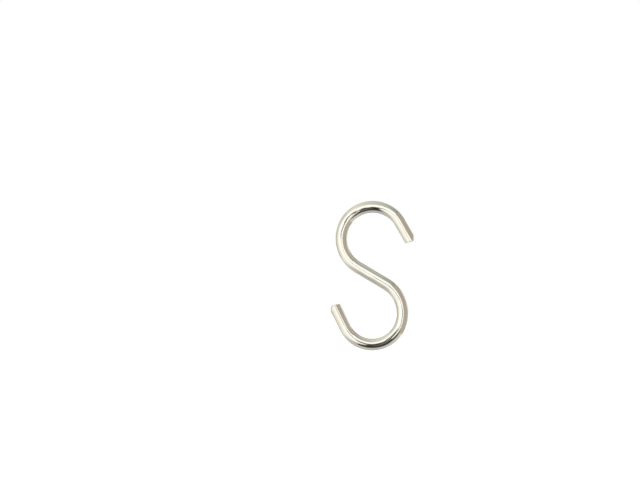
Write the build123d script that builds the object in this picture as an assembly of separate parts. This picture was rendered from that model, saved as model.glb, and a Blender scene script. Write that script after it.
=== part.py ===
from build123d import *
import os
from math import cos, radians, sin, sqrt, tan

os.makedirs("parts", exist_ok=True)

# An S-hook of bright plated steel wire, which hangs on a round rail and carries a load below it.
# The wire is bent in one plane, X and Z. +Z is up as the hook hangs, and +X is the side on which
# its upper loop opens. The origin is the crest of the upper loop's inside, where it bears on the
# rail. Lengths are millimetres, angles are degrees, and each bend radius is that of the wire's
# centre line.

# Wire and shank
wire_d = 5.0                # round wire
shank_length = 14.0         # straight run between the two loops
shank_slope = 30.7          # how far the shank falls below level, from left to right

# Upper loop, which hangs on the rail
upper_shoulder_r = 14.0     # the bend between the shank and the crown
upper_shoulder_turn = 81.6
upper_crown_r = 13.3        # the bend that sits on the rail
upper_tip_length = 9.5      # straight run from the crown to the cut end
upper_tip_flare = 30.0      # lean of the tip from upright, out of the loop

# Lower loop, which carries the load
lower_shoulder_r = 14.6
lower_shoulder_turn = 75.0
lower_crown_r = 12.8
lower_tip_length = 10.7
lower_tip_flare = 26.1

# Cropped ends: the shear leaves a slanted face and rolls the wire over on its outer side
crop_allowance = 5.0        # spare wire past each end, which the shear takes off
cut_slant = 14.3            # how far the face is off square, longest on the outer side
edge_break = 0.25           # tumbled edge all round the face
rollover_depth = 1.2        # what the rollover takes off the wire's thickness at the face
rollover_length = 2.4       # how far it runs back along the wire
rollover_r = 4.6            # how round it is

wire_r = wire_d / 2
hook_plane = Plane.XZ       # its own x and y are the hook's X and Z


def direction(heading):
    # Unit vector in the hook's plane, its heading counted anticlockwise from +X.
    return Vector(cos(radians(heading)), sin(radians(heading)))


def loop_edges(start, heading, shoulder_r, shoulder_turn, crown_r, tip_length, tip_flare):
    # Shoulder, crown and uncropped tip of one loop, from the shank's end on. Both loops turn
    # clockwise, and the crown takes what the shoulder leaves of the turn to the tip's lean.
    crown_turn = 270 - shank_slope - tip_flare - shoulder_turn
    shoulder = JernArc(start, direction(heading), shoulder_r, -shoulder_turn)
    crown = JernArc(shoulder @ 1, shoulder % 1, crown_r, -crown_turn)
    tip = Line(crown @ 1, crown @ 1 + (crown % 1) * (tip_length + crop_allowance))
    return shoulder, crown, tip


def swept_wire(edges):
    # The round wire, swept along edges that lie in the hook's plane.
    path = hook_plane * Wire(edges)
    section = Plane(path @ 0, z_dir=path % 0) * Circle(wire_r)
    return sweep(section, path=path)


def tip_plane(tip, turn=0):
    # A plane where a tip is to end. Its x runs on along the tip, turned by some degrees, its y
    # runs to the loop's outer side, and its z is square to the hook.
    end = hook_plane.from_local_coords(tip @ 1 - (tip % 1) * crop_allowance)
    ahead = hook_plane.from_local_coords((tip % 1).rotate(Axis.Z, turn))
    return Plane(end, x_dir=ahead, z_dir=hook_plane.z_dir)


def block_ahead(start):
    # A block that reaches past the wire on every side, ahead of a distance along the tip.
    return Pos(start, 0, 0) * Box(3 * wire_d, 3 * wire_d, 3 * wire_d,
                                  align=(Align.MIN, Align.CENTER, Align.CENTER))


def sheared(wire, tip):
    # The wire with one end cut off on the slant and the rim of the cut tumbled.
    face_plane = tip_plane(tip, -cut_slant)
    cut = wire - face_plane * block_ahead(0)
    face = cut.faces().sort_by_distance(face_plane.origin)[0]
    return fillet(face.edges(), edge_break)


def rolled_over(wire, tip):
    # The wire with the outer side of one end rounded off, to what lies inside a ball. The ball
    # passes through the rollover's two limits, on the face and on the wire's outer side.
    face_side = wire_r - rollover_depth
    on_face = Vector(face_side * tan(radians(cut_slant)), face_side)
    to_side = Vector(-rollover_length, rollover_depth)
    inward = Vector(-to_side.Y, to_side.X).normalized()
    centre = on_face + to_side / 2 + inward * sqrt(rollover_r ** 2 - (to_side.length / 2) ** 2)
    ball = Pos(centre) * Sphere(rollover_r)
    return wire - tip_plane(tip) * (block_ahead(centre.X) - ball)


# The centre line is laid out from the middle of the shank, then moved to the origin on the rail
shank_end = direction(-shank_slope) * (shank_length / 2)
shank = Line(-shank_end, shank_end)
upper_loop = loop_edges(-shank_end, 180 - shank_slope, upper_shoulder_r, upper_shoulder_turn,
                        upper_crown_r, upper_tip_length, upper_tip_flare)
lower_loop = loop_edges(shank_end, -shank_slope, lower_shoulder_r, lower_shoulder_turn,
                        lower_crown_r, lower_tip_length, lower_tip_flare)

hook = swept_wire([*upper_loop, shank, *lower_loop])
for loop in (upper_loop, lower_loop):
    hook = rolled_over(sheared(hook, loop[-1]), loop[-1])

rail_seat = upper_loop[1].arc_center + Vector(0, upper_crown_r - wire_r)
load_seat = lower_loop[1].arc_center - Vector(0, lower_crown_r - wire_r)
hook = Pos(-hook_plane.from_local_coords(rail_seat)) * hook
hook.label = "hook"
export_step(hook, "parts/hook.step")

box = hook.bounding_box()
print("overall X, Y, Z:", [round(side, 2) for side in (box.size.X, box.size.Y, box.size.Z)])
print("lowest and highest corner:", box.min, box.max)
print("load seat from the rail seat, X and Z:", load_seat - rail_seat)
print("volume:", round(hook.volume, 2))
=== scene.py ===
import math
import bpy
import numpy as np
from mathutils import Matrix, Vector


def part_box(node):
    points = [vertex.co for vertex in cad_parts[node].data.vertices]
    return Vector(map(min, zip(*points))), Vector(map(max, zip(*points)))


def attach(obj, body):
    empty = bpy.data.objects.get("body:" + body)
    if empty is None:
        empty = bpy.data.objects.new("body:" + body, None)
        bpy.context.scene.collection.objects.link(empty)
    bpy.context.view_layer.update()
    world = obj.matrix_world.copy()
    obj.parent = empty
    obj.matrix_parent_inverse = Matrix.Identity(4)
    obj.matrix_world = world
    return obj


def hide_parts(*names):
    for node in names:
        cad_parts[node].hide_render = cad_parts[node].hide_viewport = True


# An S-hook of bright nickel-plated wire, hanging over a pale floor.
# Metres, apart from the wire's own sizes and patterns, which are millimetres. +Z is up, the hook
# lies in the X-Z plane, and the camera looks along +Y.

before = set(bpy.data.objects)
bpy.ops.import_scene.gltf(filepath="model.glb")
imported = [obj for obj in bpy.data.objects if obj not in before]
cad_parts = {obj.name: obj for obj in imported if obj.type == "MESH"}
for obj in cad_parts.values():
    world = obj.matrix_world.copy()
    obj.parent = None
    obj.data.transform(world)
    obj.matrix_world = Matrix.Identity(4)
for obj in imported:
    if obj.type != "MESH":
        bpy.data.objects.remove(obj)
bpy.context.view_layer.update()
hookLow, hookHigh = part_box("hook")
hookMiddle = (hookLow + hookHigh) / 2
print("frame loaded, hook box in mm:", [round(1000 * c, 2) for c in (*hookLow, *hookHigh)])

mm = 0.001

# The bent wire, in millimetres and degrees. Each loop is shoulder, crown and straight tip.
wire = dict(
    diameter=5.0,
    shankLength=14.0,
    shankSlope=30.7,         # the shank falls this much below level, left to right
    upper=dict(shoulderR=14.0, shoulderTurn=81.6, crownR=13.3, tipLength=9.5, tipFlare=30.0),
    lower=dict(shoulderR=14.6, shoulderTurn=75.0, crownR=12.8, tipLength=10.7, tipFlare=26.1),
    ringStep=0.30,           # distance between rings along the wire
    facets=96,               # points round the wire
    seatLength=5.0,          # how far the rubbed place reaches along the wire
)

# The cropped ends: a slanted shear face, a tumbled rim and an outer side rolled over.
crop = dict(
    slant=14.3,              # face off square, longest on the loop's outer side
    rim=0.25,                # radius of the tumbled rim
    rolloverDepth=1.2,
    rolloverLength=2.4,
    rolloverR=4.6,
    soften=0.22,             # how softly the face runs into the rollover
    settle=4.5,              # the last rings of the tip lean over to meet the slant
    rimRings=9,
    faceRings=26,
)


def stretches(loop):
    # Length and bend radius of half the shank, the shoulder, the crown and the tip, 0 where it is
    # straight. From the slope to a tip that points straight down is 270 degrees less the slope,
    # and the crown takes what the shoulder and the flare leave of it.
    crownTurn = 270 - wire["shankSlope"] - loop["tipFlare"] - loop["shoulderTurn"]
    return [
        (wire["shankLength"] / 2, 0),
        (loop["shoulderR"] * math.radians(loop["shoulderTurn"]), loop["shoulderR"]),
        (loop["crownR"] * math.radians(crownTurn), loop["crownR"]),
        (loop["tipLength"], 0),
    ]


def loopRun(loop, heading, along):
    # Sum over the four stretches of what each adds at t, the distance gone in it: straight adds
    # t (cos h, sin h), an arc of radius r adds r (sin h0 - sin h, cos h - cos h0), h = h0 - t / r.
    x, z = np.zeros_like(along), np.zeros_like(along)
    turned = np.zeros_like(along)
    start = 0.0
    for length, radius in stretches(loop):
        t = np.clip(along - start, 0, length)
        if radius:
            now = heading - t / radius
            x += radius * (math.sin(heading) - np.sin(now))
            z += radius * (np.cos(now) - math.cos(heading))
            turned -= t / radius
            heading -= length / radius
        else:
            x += t * math.cos(heading)
            z += t * math.sin(heading)
        start += length
    return x, z, turned


def loopLength(loop):
    # The sum of its stretches' lengths
    return sum(length for length, radius in stretches(loop))


def crestShift(loop, heading, inside):
    # The crown's centre plus the inside radius along +Z: what has to come to the origin
    shank, shoulder = stretches(loop)[:2]
    x, z, turned = loopRun(loop, heading, np.array([shank[0] + shoulder[0]]))
    now = heading + turned[0]
    centreX = x[0] + loop["crownR"] * math.sin(now)
    centreZ = z[0] - loop["crownR"] * math.cos(now)
    return centreX, centreZ + inside


def centreLine():
    # From the upper tip's end to the lower tip's: the upper loop is laid out from the middle of
    # the shank and taken backwards, which turns its heading half round.
    slope = math.radians(wire["shankSlope"])
    upperHeading, lowerHeading = math.pi - slope, -slope
    upperLength, lowerLength = loopLength(wire["upper"]), loopLength(wire["lower"])
    upperAlong = np.linspace(upperLength, 0, round(upperLength / wire["ringStep"]) + 1)
    lowerAlong = np.linspace(0, lowerLength, round(lowerLength / wire["ringStep"]) + 1)[1:]
    ux, uz, uTurn = loopRun(wire["upper"], upperHeading, upperAlong)
    lx, lz, lTurn = loopRun(wire["lower"], lowerHeading, lowerAlong)
    inside = wire["upper"]["crownR"] - wire["diameter"] / 2
    shiftX, shiftZ = crestShift(wire["upper"], upperHeading, inside)
    x = np.concatenate([ux, lx]) - shiftX
    z = np.concatenate([uz, lz]) - shiftZ
    heading = np.concatenate([upperHeading + uTurn - math.pi, lowerHeading + lTurn])
    along = np.concatenate([upperLength - upperAlong, upperLength + lowerAlong])
    return x, z, heading, along


def faceHeight(outer, side):
    # How far the end stands ahead of the tip's end point, at a place on the wire's section:
    # outer tan(slant) on the face, the ball's c + sqrt(r^2 - d^2) where that is less, and
    # a smooth minimum between them. The second result is 1 on the face and 0 on the ball.
    wireR = wire["diameter"] / 2
    faceSide = wireR - crop["rolloverDepth"]
    onFace = np.array([faceSide * math.tan(math.radians(crop["slant"])), faceSide])
    toSide = np.array([-crop["rolloverLength"], crop["rolloverDepth"]])
    reach = np.linalg.norm(toSide)
    inward = np.array([-toSide[1], toSide[0]]) / reach
    ball = onFace + toSide / 2 + inward * math.sqrt(crop["rolloverR"] ** 2 - (reach / 2) ** 2)
    plane = outer * math.tan(math.radians(crop["slant"]))
    depth = crop["rolloverR"] ** 2 - (outer - ball[1]) ** 2 - side ** 2
    overBall = ball[0] + np.sqrt(np.maximum(depth, 0))
    gap = (plane - overBall) / crop["soften"]
    height = plane - crop["soften"] * np.logaddexp(0, gap)
    flat = (1 - np.tanh(gap)) / 2
    return height, flat


def sweepWire():
    # point = centre + ahead T + outer N + side B, with outer = r cos(a), side = r sin(a), the
    # radius r falling to nothing over each end's rows, so both ends close on a pole.
    wireR, facets = wire["diameter"] / 2, wire["facets"]
    x, z, heading, along = centreLine()
    angle = np.linspace(0, 2 * math.pi, facets, endpoint=False)
    quarter = np.linspace(0, math.pi / 2, crop["rimRings"])
    rimR = wireR - crop["rim"] * (1 - np.cos(quarter))
    rimDrop = crop["rim"] * (1 - np.sin(quarter))
    faceR = np.linspace(wireR - crop["rim"], 0, crop["faceRings"])[1:-1]
    endR = np.concatenate([rimR, faceR])
    endDrop = np.concatenate([rimDrop, np.zeros_like(faceR)])

    def endRows(outward):
        # One end's rows from the rim inwards; outward is +1 where N points out of the loop
        outer = outward * endR[:, None] * np.cos(angle)
        side = endR[:, None] * np.sin(angle)
        height, flat = faceHeight(outer, side)
        return height - endDrop[:, None], flat

    upperAhead, upperFlat = endRows(-1)
    lowerAhead, lowerFlat = endRows(1)
    rings = len(x)
    toUpper = np.clip(1 - along / crop["settle"], 0, 1)[:, None]
    toLower = np.clip(1 - (along[-1] - along) / crop["settle"], 0, 1)[:, None]
    tubeAhead = toLower * lowerAhead[0] - toUpper * upperAhead[0]

    # Rows of the whole grid, upper end inside out, tube, lower end outside in
    first, last = np.zeros(len(endR) - 1, int), np.full(len(endR) - 1, rings - 1)
    at = np.concatenate([first, np.arange(rings), last])
    radius = np.concatenate([endR[:0:-1], np.full(rings, wireR), endR[1:]])[:, None]
    ahead = np.concatenate([-upperAhead[:0:-1], tubeAhead, lowerAhead[1:]])
    cut = np.concatenate([upperFlat[:0:-1], np.zeros((rings, facets)), lowerFlat[1:]])
    outer, side = radius * np.cos(angle), radius * np.sin(angle)
    cosH, sinH = np.cos(heading[at])[:, None], np.sin(heading[at])[:, None]
    px = x[at][:, None] + ahead * cosH - outer * sinH
    pz = z[at][:, None] + ahead * sinH + outer * cosH
    points = np.stack([px, -side, pz], -1).reshape(-1, 3)
    straight = np.stack([outer, side, along[at][:, None] + ahead], -1).reshape(-1, 3)

    # The two poles
    rows = len(at)
    poleAt = np.array([0, rings - 1])
    poleAhead = faceHeight(np.zeros(1), np.zeros(1))[0] * np.array([-1, 1])
    poles = np.stack([x[poleAt] + poleAhead * np.cos(heading[poleAt]), np.zeros(2),
                      z[poleAt] + poleAhead * np.sin(heading[poleAt])], -1)
    poleStraight = np.stack([np.zeros(2), np.zeros(2), along[poleAt] + poleAhead], -1)
    points = np.concatenate([points, poles])
    straight = np.concatenate([straight, poleStraight])
    cut = np.concatenate([cut.ravel(), [1.0, 1.0]])

    row, col = np.meshgrid(np.arange(rows - 1), np.arange(facets), indexing="ij")
    nextCol = (col + 1) % facets
    quads = np.stack([row * facets + col, row * facets + nextCol,
                      (row + 1) * facets + nextCol, (row + 1) * facets + col], -1).reshape(-1, 4)
    ring = np.arange(facets)
    ringNext = (ring + 1) % facets
    top, bottom = rows * facets, rows * facets + 1
    fans = np.concatenate([
        np.stack([np.full(facets, top), ringNext, ring], -1),
        np.stack([np.full(facets, bottom), (rows - 1) * facets + ring,
                  (rows - 1) * facets + ringNext], -1),
    ])

    # Rubbed seats, exp(-(distance along / length)^2) on the inner side of each crown
    crest, foot = along[np.argmax(z)], along[np.argmin(z)]
    inner = np.clip(straight[:, 0] / wireR, -1, 1)
    upperSeat = np.exp(-((straight[:, 2] - crest) / wire["seatLength"]) ** 2)
    lowerSeat = np.exp(-((straight[:, 2] - foot) / wire["seatLength"]) ** 2)
    rubbed = upperSeat * np.clip(inner, 0, 1) ** 2 + lowerSeat * np.clip(-inner, 0, 1) ** 2
    return points * mm, quads, fans, straight, cut, rubbed


def makeMesh(name, points, quads, fans, straight, cut, rubbed):
    # One closed mesh of the grid's quads and the poles' fans, with what the finish reads: where
    # each point lies on the straightened wire, how much it is on a cut face, how much it is rubbed
    mesh = bpy.data.meshes.new(name)
    mesh.from_pydata(points.tolist(), [], quads.tolist() + fans.tolist())
    mesh.shade_smooth()
    spot = mesh.attributes.new("straightWire", "FLOAT_VECTOR", "POINT")
    spot.data.foreach_set("vector", straight.astype(np.float32).ravel())
    face = mesh.attributes.new("shearFace", "FLOAT", "POINT")
    face.data.foreach_set("value", cut.astype(np.float32))
    seat = mesh.attributes.new("rubbedSeat", "FLOAT", "POINT")
    seat.data.foreach_set("value", rubbed.astype(np.float32))
    mesh.update()
    piece = bpy.data.objects.new(name, mesh)
    bpy.context.scene.collection.objects.link(piece)
    return piece


# Bright nickel over steel. Each pattern is noise on the straightened wire: its scale is waves
# per millimetre (two across the wire, one along it), and spread is the band of it that shows.
nickel = dict(
    tone=(0.84, 0.82, 0.745),
    warmTone=(0.80, 0.77, 0.675),
    roughness=(0.050, 0.095),     # from the brightest to the dullest places
    faceRoughness=0.30,           # added on the sheared ends
    streakRoughness=0.05,         # added in the draw lines
    seatRoughness=0.12,           # added where the rail and the load rub the loops' insides
    waveDepth=0.00020,            # depths of the relief, in metres
    drawDepth=0.000008,
    shearDepth=0.00002,
    toneClouds=dict(scale=(0.30, 0.30, 0.07), detail=2.0, rough=0.5, spread=(0.40, 0.70)),
    dullClouds=dict(scale=(0.9, 0.9, 0.25), detail=3.0, rough=0.5, spread=(0.35, 0.65)),
    drawLines=dict(scale=(4.5, 4.5, 0.04), detail=3.0, rough=0.6, spread=(0.35, 0.70)),
    scuffs=dict(scale=(0.8, 5.0, 7.0), detail=4.0, rough=0.6, spread=(0.42, 0.62)),
    polishWaves=dict(scale=(0.16, 0.16, 0.128), detail=1.0, rough=0.5),
    shearMarks=dict(scale=(1.2, 14.0, 3.0), detail=4.0, rough=0.65),
)


def bareTree(owner):
    # A material's or world's node tree, emptied
    owner.use_nodes = True
    owner.node_tree.nodes.clear()
    return owner.node_tree.nodes, owner.node_tree.links


def nickelFinish():
    # Colour is one tone mixed into another by slow clouds. Roughness is clouds + draw lines +
    # cut face + scuffs x rubbed seat. Height is polish waves + draw lines + shear marks x cut face.
    material = bpy.data.materials.new("nickel_wire_finish")
    nodes, links = bareTree(material)
    output = nodes.new("ShaderNodeOutputMaterial")
    metal = nodes.new("ShaderNodeBsdfPrincipled")
    metal.inputs["Metallic"].default_value = 1.0
    links.new(metal.outputs[0], output.inputs[0])

    def attribute(name):
        # What the mesh says at each point
        node = nodes.new("ShaderNodeAttribute")
        node.attribute_name = name
        return node

    def noise(pattern):
        # Noise at the straightened wire's place x the pattern's scale
        mapping = nodes.new("ShaderNodeMapping")
        mapping.inputs["Scale"].default_value = pattern["scale"]
        links.new(straightWire, mapping.inputs["Vector"])
        node = nodes.new("ShaderNodeTexNoise")
        node.inputs["Scale"].default_value = 1.0
        node.inputs["Detail"].default_value = pattern["detail"]
        node.inputs["Roughness"].default_value = pattern["rough"]
        links.new(mapping.outputs[0], node.inputs["Vector"])
        return node.outputs["Fac"]

    def carry(value, band, result=(0.0, 1.0)):
        # From one band of values to another, held at its ends
        node = nodes.new("ShaderNodeMapRange")
        for socket, number in zip(node.inputs[1:5], (*band, *result)):
            socket.default_value = number
        links.new(value, node.inputs[0])
        return node.outputs[0]

    def combine(kind, a, b):
        node = nodes.new("ShaderNodeMath")
        node.operation = kind
        for socket, value in zip(node.inputs, (a, b)):
            if isinstance(value, float):
                socket.default_value = value
            else:
                links.new(value, socket)
        return node.outputs[0]

    def bump(height, distance, normal=None):
        node = nodes.new("ShaderNodeBump")
        node.inputs["Strength"].default_value = 1.0
        node.inputs["Distance"].default_value = distance
        links.new(height, node.inputs["Height"])
        if normal:
            links.new(normal, node.inputs["Normal"])
        return node.outputs[0]

    straightWire = attribute("straightWire").outputs["Vector"]
    shearFace = attribute("shearFace").outputs["Fac"]
    rubbedSeat = attribute("rubbedSeat").outputs["Fac"]

    toneClouds = noise(nickel["toneClouds"])
    mixTone = nodes.new("ShaderNodeMix")
    mixTone.data_type = "RGBA"
    mixTone.inputs["A"].default_value = (*nickel["tone"], 1)
    mixTone.inputs["B"].default_value = (*nickel["warmTone"], 1)
    links.new(carry(toneClouds, nickel["toneClouds"]["spread"]), mixTone.inputs["Factor"])
    links.new(mixTone.outputs["Result"], metal.inputs["Base Color"])

    lines = noise(nickel["drawLines"])
    clouds = noise(nickel["dullClouds"])
    scuffs = carry(noise(nickel["scuffs"]), nickel["scuffs"]["spread"])
    dull = carry(clouds, nickel["dullClouds"]["spread"], nickel["roughness"])
    streaks = carry(lines, nickel["drawLines"]["spread"], (0.0, nickel["streakRoughness"]))
    onFace = combine("MULTIPLY", shearFace, nickel["faceRoughness"])
    onSeat = combine("MULTIPLY", combine("MULTIPLY", scuffs, rubbedSeat), nickel["seatRoughness"])
    rough = combine("ADD", combine("ADD", dull, streaks), combine("ADD", onFace, onSeat))
    links.new(rough, metal.inputs["Roughness"])

    shearMarks = combine("MULTIPLY", noise(nickel["shearMarks"]), shearFace)
    normal = bump(noise(nickel["polishWaves"]), nickel["waveDepth"])
    normal = bump(lines, nickel["drawDepth"], normal)
    normal = bump(shearMarks, nickel["shearDepth"], normal)
    links.new(normal, metal.inputs["Normal"])
    return material


hookWire = makeMesh("hook_wire", *sweepWire())
hookWire.data.materials.append(nickelFinish())
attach(hookWire, "root")
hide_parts("hook")
print("wire swept:", len(hookWire.data.vertices), "points")

# The studio: a pale floor under the hanging hook, white all round, one soft lamp.
studio = dict(
    floorDrop=0.066,         # below the hook's foot
    floorSize=8.0,
    floorTone=(0.95, 0.95, 0.95),
    worldLight=0.80,
    lampPower=1.35,
    lampAngle=0.10,                   # radians across, which softens the shadow
    lampPlace=(-0.38, -0.40, 0.80),   # from the hook's middle
)


def surface(name, corners):
    # One flat face through its corners, which is no part of the hook
    mesh = bpy.data.meshes.new(name)
    mesh.from_pydata([tuple(c) for c in corners], [], [tuple(range(len(corners)))])
    obj = bpy.data.objects.new(name, mesh)
    bpy.context.scene.collection.objects.link(obj)
    return obj


def floorPaint():
    # Matt paint, which a camera under the floor looks through
    material = bpy.data.materials.new("floor_paint")
    nodes, links = bareTree(material)
    output = nodes.new("ShaderNodeOutputMaterial")
    paint = nodes.new("ShaderNodeBsdfDiffuse")
    paint.inputs["Color"].default_value = (*studio["floorTone"], 1)
    clear = nodes.new("ShaderNodeBsdfTransparent")
    face = nodes.new("ShaderNodeNewGeometry")
    pick = nodes.new("ShaderNodeMixShader")
    links.new(face.outputs["Backfacing"], pick.inputs[0])
    links.new(paint.outputs[0], pick.inputs[1])
    links.new(clear.outputs[0], pick.inputs[2])
    links.new(pick.outputs[0], output.inputs[0])
    return material


def makeFloor():
    # A level square below the hook's foot
    level, half = hookLow.z - studio["floorDrop"], studio["floorSize"] / 2
    floor = surface("floor", [(-half, -half, level), (half, -half, level),
                              (half, half, level), (-half, half, level)])
    floor.data.materials.append(floorPaint())
    floor.visible_glossy = False     # the table card stands for it in the metal


def makeWorld():
    # White to the camera and in reflections, a plain level of light to all else
    world = bpy.data.worlds.new("studio_world")
    bpy.context.scene.world = world
    nodes, links = bareTree(world)
    output = nodes.new("ShaderNodeOutputWorld")
    seen, light = nodes.new("ShaderNodeBackground"), nodes.new("ShaderNodeBackground")
    seen.inputs["Strength"].default_value = 1.0
    seen.inputs["Color"].default_value = (1, 1, 1, 1)
    light.inputs["Strength"].default_value = studio["worldLight"]
    light.inputs["Color"].default_value = (1, 1, 1, 1)
    path = nodes.new("ShaderNodeLightPath")
    isSeen = path.outputs["Is Camera Ray"]
    for ray in ("Is Glossy Ray", "Is Transmission Ray"):
        either = nodes.new("ShaderNodeMath")
        either.operation = "MAXIMUM"
        links.new(isSeen, either.inputs[0])
        links.new(path.outputs[ray], either.inputs[1])
        isSeen = either.outputs[0]
    pick = nodes.new("ShaderNodeMixShader")
    links.new(isSeen, pick.inputs[0])
    links.new(light.outputs[0], pick.inputs[1])
    links.new(seen.outputs[0], pick.inputs[2])
    links.new(pick.outputs[0], output.inputs[0])


def makeLamp():
    # Shines from its place towards the hook's middle
    lamp = bpy.data.lights.new("soft_lamp", "SUN")
    lamp.energy = studio["lampPower"]
    lamp.angle = studio["lampAngle"]
    obj = bpy.data.objects.new("soft_lamp", lamp)
    bpy.context.scene.collection.objects.link(obj)
    place = Vector(studio["lampPlace"])
    obj.location = hookMiddle + place
    obj.rotation_euler = (-place).to_track_quat("-Z", "Y").to_euler()
    obj.visible_glossy = False       # the softbox card stands for it in the metal


# A room that only the metal sees, as is set round bright work in a studio. A wall's corners are
# x, y and z from the hook's middle, and a brightness. A panel lies square to a ray from the
# hook's middle, given as a bearing round the camera's line (0 right, 90 up) and degrees off it,
# and its corners are each a bearing, degrees off and a brightness.
walls = dict(
    ceiling=dict(tint=(0.985, 1.0, 0.90),
                 corners=[(-0.7, -0.85, 0.7, 1.05), (0.7, -0.85, 0.7, 0.36),
                          (0.7, 2.6, 0.7, 0.30), (-0.7, 2.6, 0.7, 0.25)]),
    rightWall=dict(tint=(1.0, 0.93, 0.80),
                   corners=[(0.7, -1.6, 0.7, 0.50), (0.7, -1.6, -0.5, 0.56),
                            (0.7, 2.6, -0.5, 0.45), (0.7, 2.6, 0.7, 0.40)]),
    leftWall=dict(tint=(1.0, 0.985, 0.885),
                  corners=[(-0.7, -0.31, 0.7, 0.76), (-0.7, -0.31, -0.5, 1.0),
                           (-0.7, 2.6, -0.5, 0.35), (-0.7, 2.6, 0.7, 0.35)]),
    table=dict(tint=(1.0, 0.98, 0.93),
               corners=[(-0.7, 0.10, -0.5, 0.80), (-0.25, -0.50, -0.5, 0.58),
                        (0.0, -1.6, -0.5, 0.58), (0.7, -1.6, -0.5, 0.55),
                        (0.7, 2.6, -0.5, 1.0), (-0.7, 2.6, -0.5, 0.75)]),
)
panels = dict(
    softbox=dict(tint=(1.0, 1.0, 1.0), faces=(0, 0), distance=0.50,
                 corners=[(0, 24, 1.30), (30, 26, 1.30), (50, 33, 1.29), (90, 40, 1.28),
                          (110, 45, 1.28), (135, 66, 1.16), (180, 66, 1.29), (222, 68, 1.13),
                          (240, 58, 0.88), (250, 36, 0.97), (262, 15, 1.26), (300, 26, 1.16),
                          (330, 26, 1.16)]),
    camera=dict(tint=(1.0, 1.0, 0.98), faces=(135, 12), distance=0.40,
                corners=[(139, 30, 0.30), (124, 21, 0.20), (100, 5, 0.14), (165, 4.5, 0.14),
                         (158, 19, 0.26)]),
    bench=dict(tint=(1.0, 0.98, 0.85), faces=(275, 45), distance=0.20,
               corners=[(95, 6, 0.05), (325, 3.5, 0.05), (322, 9, 0.07), (303, 21, 0.05),
                        (301, 36, 0.012), (328, 43, 0.05), (320, 60, 0.05), (292, 77, 0.08),
                        (264, 77, 0.08), (246, 70, 0.012), (250, 52, 0.012), (259, 35, 0.03),
                        (259, 16, 0.05), (245, 4, 0.05), (125, 6, 0.05)]),
    glint=dict(tint=(1.0, 0.99, 0.93), faces=(290, 30), distance=0.17,
               corners=[(270, 30, 0.12), (284, 25, 0.18), (298, 23, 0.32), (305, 33, 0.26),
                        (290, 42, 0.14), (270, 43, 0.12)]),
    backSoftbox=dict(tint=(1.0, 1.0, 1.0), faces=(0, 180), distance=0.50,
                     corners=[(0, 158, 1.15), (60, 150, 1.15), (120, 146, 1.15),
                              (180, 146, 1.15), (235, 150, 1.10), (270, 172, 1.10)]),
    backBench=dict(tint=(1.0, 0.98, 0.90), faces=(275, 150), distance=0.30,
                   corners=[(330, 170, 0.10), (308, 146, 0.05), (275, 137, 0.08),
                            (240, 144, 0.04), (200, 172, 0.10)]),
    rightBackSoftbox=dict(tint=(1.0, 0.99, 0.95), faces=(0, 128), distance=0.40,
                          corners=[(334, 122, 0.95), (20, 114, 0.85), (34, 128, 1.0),
                                   (24, 142, 1.15), (336, 140, 1.05)]),
    leftBackBench=dict(tint=(1.0, 0.98, 0.90), faces=(180, 120), distance=0.40,
                       corners=[(152, 118, 0.06), (206, 110, 0.10), (212, 121, 0.06),
                                (160, 125, 0.04)]),
    leftBackSoftbox=dict(tint=(1.0, 1.0, 0.97), faces=(180, 136), distance=0.40,
                         corners=[(150, 130, 0.95), (206, 126, 0.95), (200, 144, 1.1),
                                  (156, 144, 1.1)]),
)


def glowPaint():
    # Each card glows with its own corners' colour
    material = bpy.data.materials.new("card_glow")
    nodes, links = bareTree(material)
    output = nodes.new("ShaderNodeOutputMaterial")
    glow = nodes.new("ShaderNodeEmission")
    tone = nodes.new("ShaderNodeAttribute")
    tone.attribute_name = "cardTone"
    links.new(tone.outputs["Color"], glow.inputs["Color"])
    links.new(glow.outputs[0], output.inputs[0])
    return material


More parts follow.
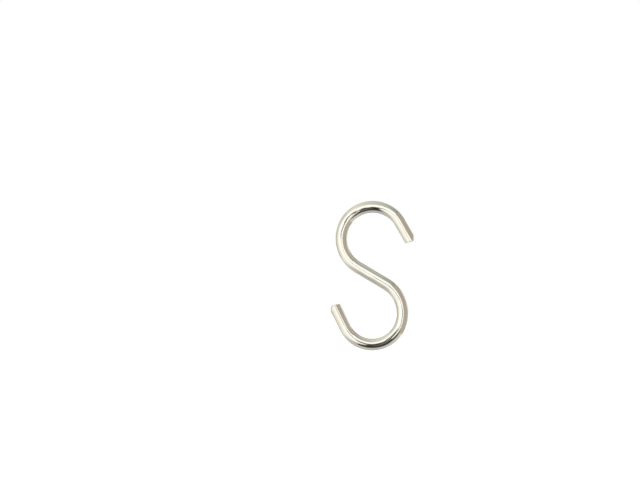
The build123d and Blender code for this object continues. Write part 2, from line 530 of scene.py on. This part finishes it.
def aim(bearing, off):
    # Unit vectors (sin off cos bearing, -cos off, sin off sin bearing)
    bearing, off = np.radians(bearing), np.radians(off)
    return np.stack([np.sin(off) * np.cos(bearing), -np.cos(off),
                     np.sin(off) * np.sin(bearing)], -1)


def makeCards():
    # The walls and panels as glowing faces, each corner's colour its brightness x the tint
    glow = glowPaint()
    placed = {}
    for name, wall in walls.items():
        corners = np.array(wall["corners"], float)
        placed[name] = (corners[:, :3], corners[:, 3], wall["tint"])
    for name, panel in panels.items():
        # A panel's plane cuts each corner's ray d, a unit vector, at d (distance / d.n)
        bearing, off, level = np.array(panel["corners"], float).T
        rays, square = aim(bearing, off), aim(*panel["faces"])
        reach = panel["distance"] / (rays @ square)
        placed[name] = (rays * reach[:, None], level, panel["tint"])
    for name, (corners, level, tint) in placed.items():
        obj = surface(name + "_card", corners + np.array(hookMiddle))
        tones = np.ones((len(level), 4))
        tones[:, :3] = level[:, None] * np.array(tint)
        layer = obj.data.attributes.new("cardTone", "FLOAT_COLOR", "POINT")
        layer.data.foreach_set("color", tones.ravel())
        obj.data.materials.append(glow)
        obj.visible_camera = False
        obj.visible_diffuse = False
        obj.visible_transmission = False
        obj.visible_shadow = False


makeFloor()
makeWorld()
makeLamp()
makeCards()
print("studio set:", len(walls) + len(panels), "cards")

# The camera stands level in front, with the hook right of the view's middle and low in it.
camera = dict(
    lens=200.0,
    sensor=36.0,
    viewWidth=0.2723,        # what the view takes in across, at the hook
    aside=-0.02227,          # from the hook's middle
    above=0.01511,
    nearest=0.05,            # what is nearer or farther isn't drawn
    farthest=20.0,
)


def makeCamera():
    # Stands back by view width x lens / sensor
    data = bpy.data.cameras.new("camera")
    data.lens = camera["lens"]
    data.sensor_width = camera["sensor"]
    data.clip_start, data.clip_end = camera["nearest"], camera["farthest"]
    obj = bpy.data.objects.new("camera", data)
    bpy.context.scene.collection.objects.link(obj)
    away = camera["viewWidth"] * camera["lens"] / camera["sensor"]
    obj.location = (hookMiddle.x + camera["aside"], hookMiddle.y - away,
                    hookMiddle.z + camera["above"])
    obj.rotation_euler = (math.radians(90), 0, 0)
    bpy.context.scene.camera = obj


makeCamera()
bpy.context.scene.view_settings.view_transform = "Standard"
print("camera set")
